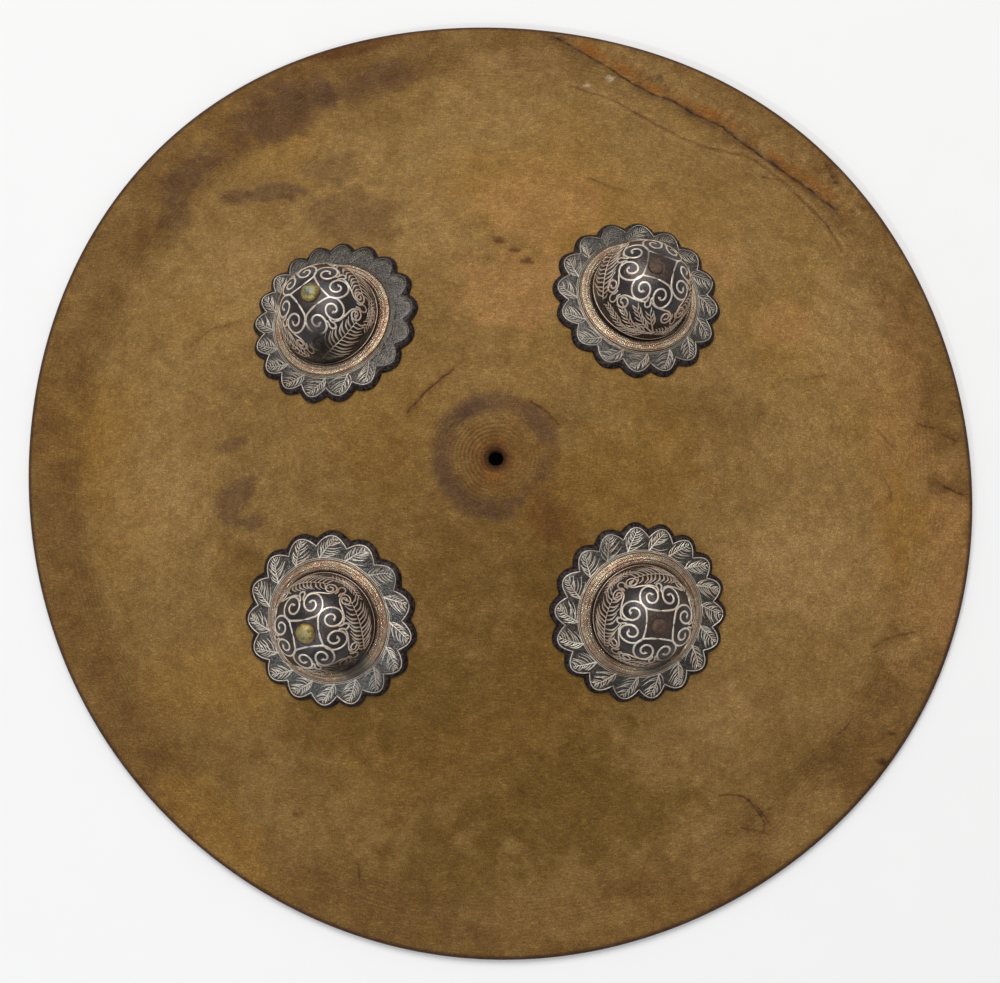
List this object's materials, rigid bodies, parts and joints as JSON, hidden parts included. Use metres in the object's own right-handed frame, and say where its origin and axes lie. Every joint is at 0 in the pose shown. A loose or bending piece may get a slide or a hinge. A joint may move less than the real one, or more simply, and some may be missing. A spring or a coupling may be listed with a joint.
{
  "type": "dhal shield",
  "caption": "Round dished hide shield with a flared rim and scalloped, silver-inlaid iron bosses riveted round its crown; it lies on its rim face up.",
  "frame": {"origin": "on the floor under the crown of the disc, at the middle of its outline", "axes": "+Z out of the face, +Y towards the upper pair of bosses, +X to the right of the face"},
  "size_m": [0.449, 0.4469, 0.0824],
  "materials": {
    "hide": "dry mottled rawhide, satin",
    "inlaid_iron": "dark hatched iron with a brown patina",
    "silver_inlay": "worn silver wire beaten onto the iron",
    "brass": "dull, with a green-grey tarnish",
    "rusty_iron": "red-brown rust, matt"
  },
  "bodies": {
    "root": {"hide_disc": "hide", "boss_upper_left": "inlaid_iron", "boss_upper_right": "inlaid_iron", "boss_lower_left": "inlaid_iron", "boss_lower_right": "inlaid_iron", "rivet_upper_left": "brass", "rivet_lower_left": "brass", "rivet_upper_right": "rusty_iron", "rivet_lower_right": "rusty_iron"}
  },
  "joints": []
}
